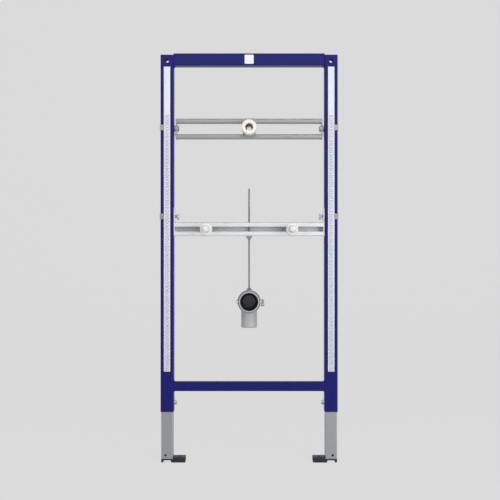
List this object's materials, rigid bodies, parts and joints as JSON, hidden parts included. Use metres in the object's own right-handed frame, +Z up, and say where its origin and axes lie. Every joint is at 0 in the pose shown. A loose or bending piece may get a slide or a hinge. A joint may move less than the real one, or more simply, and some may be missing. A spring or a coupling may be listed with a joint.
{
  "type": "urinal installation frame",
  "caption": "Freestanding-height steel installation frame on telescopic feet, with sliding water bracket, fixing rail with capped studs, and drain elbow hung on a rod.",
  "frame": {"origin": "centre of the rear face of the top bar, where the frame is fixed towards the wall; the floor is 1.138 m below", "axes": "+X to the right seen from the front, +Y to the rear towards the wall, +Z up"},
  "size_m": [0.5036, 0.155, 1.155],
  "materials": {
    "blue_coat": "glossy powder coat",
    "white_label": "plain printed foil",
    "scale_foil": "satin foil",
    "galvanised_steel": "galvanised",
    "zinc_sheet": "zinc plated",
    "zinc_screw": "zinc plated",
    "dark_steel": "galvanised, shaded",
    "dark_coat": "satin coat",
    "cast_brass": "machined",
    "cream_plastic": "moulded",
    "white_plastic": "moulded",
    "grey_plastic": "moulded",
    "grey_rubber": "matt",
    "black_rubber": "matt"
  },
  "bodies": {
    "frame": {"upright_left": "blue_coat", "upright_right": "blue_coat", "top_bar": "blue_coat", "lower_bar": "blue_coat", "blank_label": "white_label", "scale_strip_left": "scale_foil", "scale_strip_right": "scale_foil", "leg_screw_left": "zinc_screw", "leg_screw_right": "zinc_screw"},
    "left_foot": {"leg_left": "galvanised_steel", "foot_left": "dark_coat"},
    "right_foot": {"leg_right": "galvanised_steel", "foot_right": "dark_coat"},
    "water_bracket": {"water_bar_upper": "galvanised_steel", "water_bar_lower": "galvanised_steel", "water_end_left": "galvanised_steel", "water_end_right": "galvanised_steel", "water_strap_left": "zinc_sheet", "water_strap_right": "zinc_sheet", "water_screw_left": "zinc_screw", "water_screw_right": "zinc_screw", "connector_plate": "dark_steel", "brass_fitting": "cast_brass", "water_sleeve": "cream_plastic"},
    "rail_bracket": {"fixing_rail": "galvanised_steel", "rail_end_left": "galvanised_steel", "rail_end_right": "galvanised_steel", "rail_strap_left": "zinc_sheet", "rail_strap_right": "zinc_sheet", "rail_screw_left": "zinc_screw", "rail_screw_right": "zinc_screw", "stud_left": "zinc_screw", "stud_right": "zinc_screw", "collar_left": "white_plastic", "collar_right": "white_plastic", "cap_left": "white_plastic", "cap_right": "white_plastic", "rod_clip": "dark_steel"},
    "drain_hanger": {"threaded_rod": "zinc_screw", "clamp_upper": "zinc_sheet", "clamp_lower": "zinc_sheet", "clamp_lining": "grey_rubber", "clamp_screw": "zinc_screw", "drain_elbow": "grey_plastic", "drain_seal": "black_rubber"}
  },
  "joints": [
    {"name": "left_foot_slide", "type": "slide", "parent": "frame", "child": "left_foot", "axis": [0, 0, -1], "range_m": [-0.125, 0.065]},
    {"name": "right_foot_slide", "type": "slide", "parent": "frame", "child": "right_foot", "axis": [0, 0, -1], "range_m": [-0.125, 0.065]},
    {"name": "water_slide", "type": "slide", "parent": "frame", "child": "water_bracket", "axis": [0, 0, 1], "range_m": [-0.04, 0.12]},
    {"name": "rail_slide", "type": "slide", "parent": "frame", "child": "rail_bracket", "axis": [0, 0, 1], "range_m": [-0.07, 0.05]},
    {"name": "drain_slide", "type": "slide", "parent": "rail_bracket", "child": "drain_hanger", "axis": [0, 0, 1], "range_m": [-0.06, 0.04]}
  ]
}
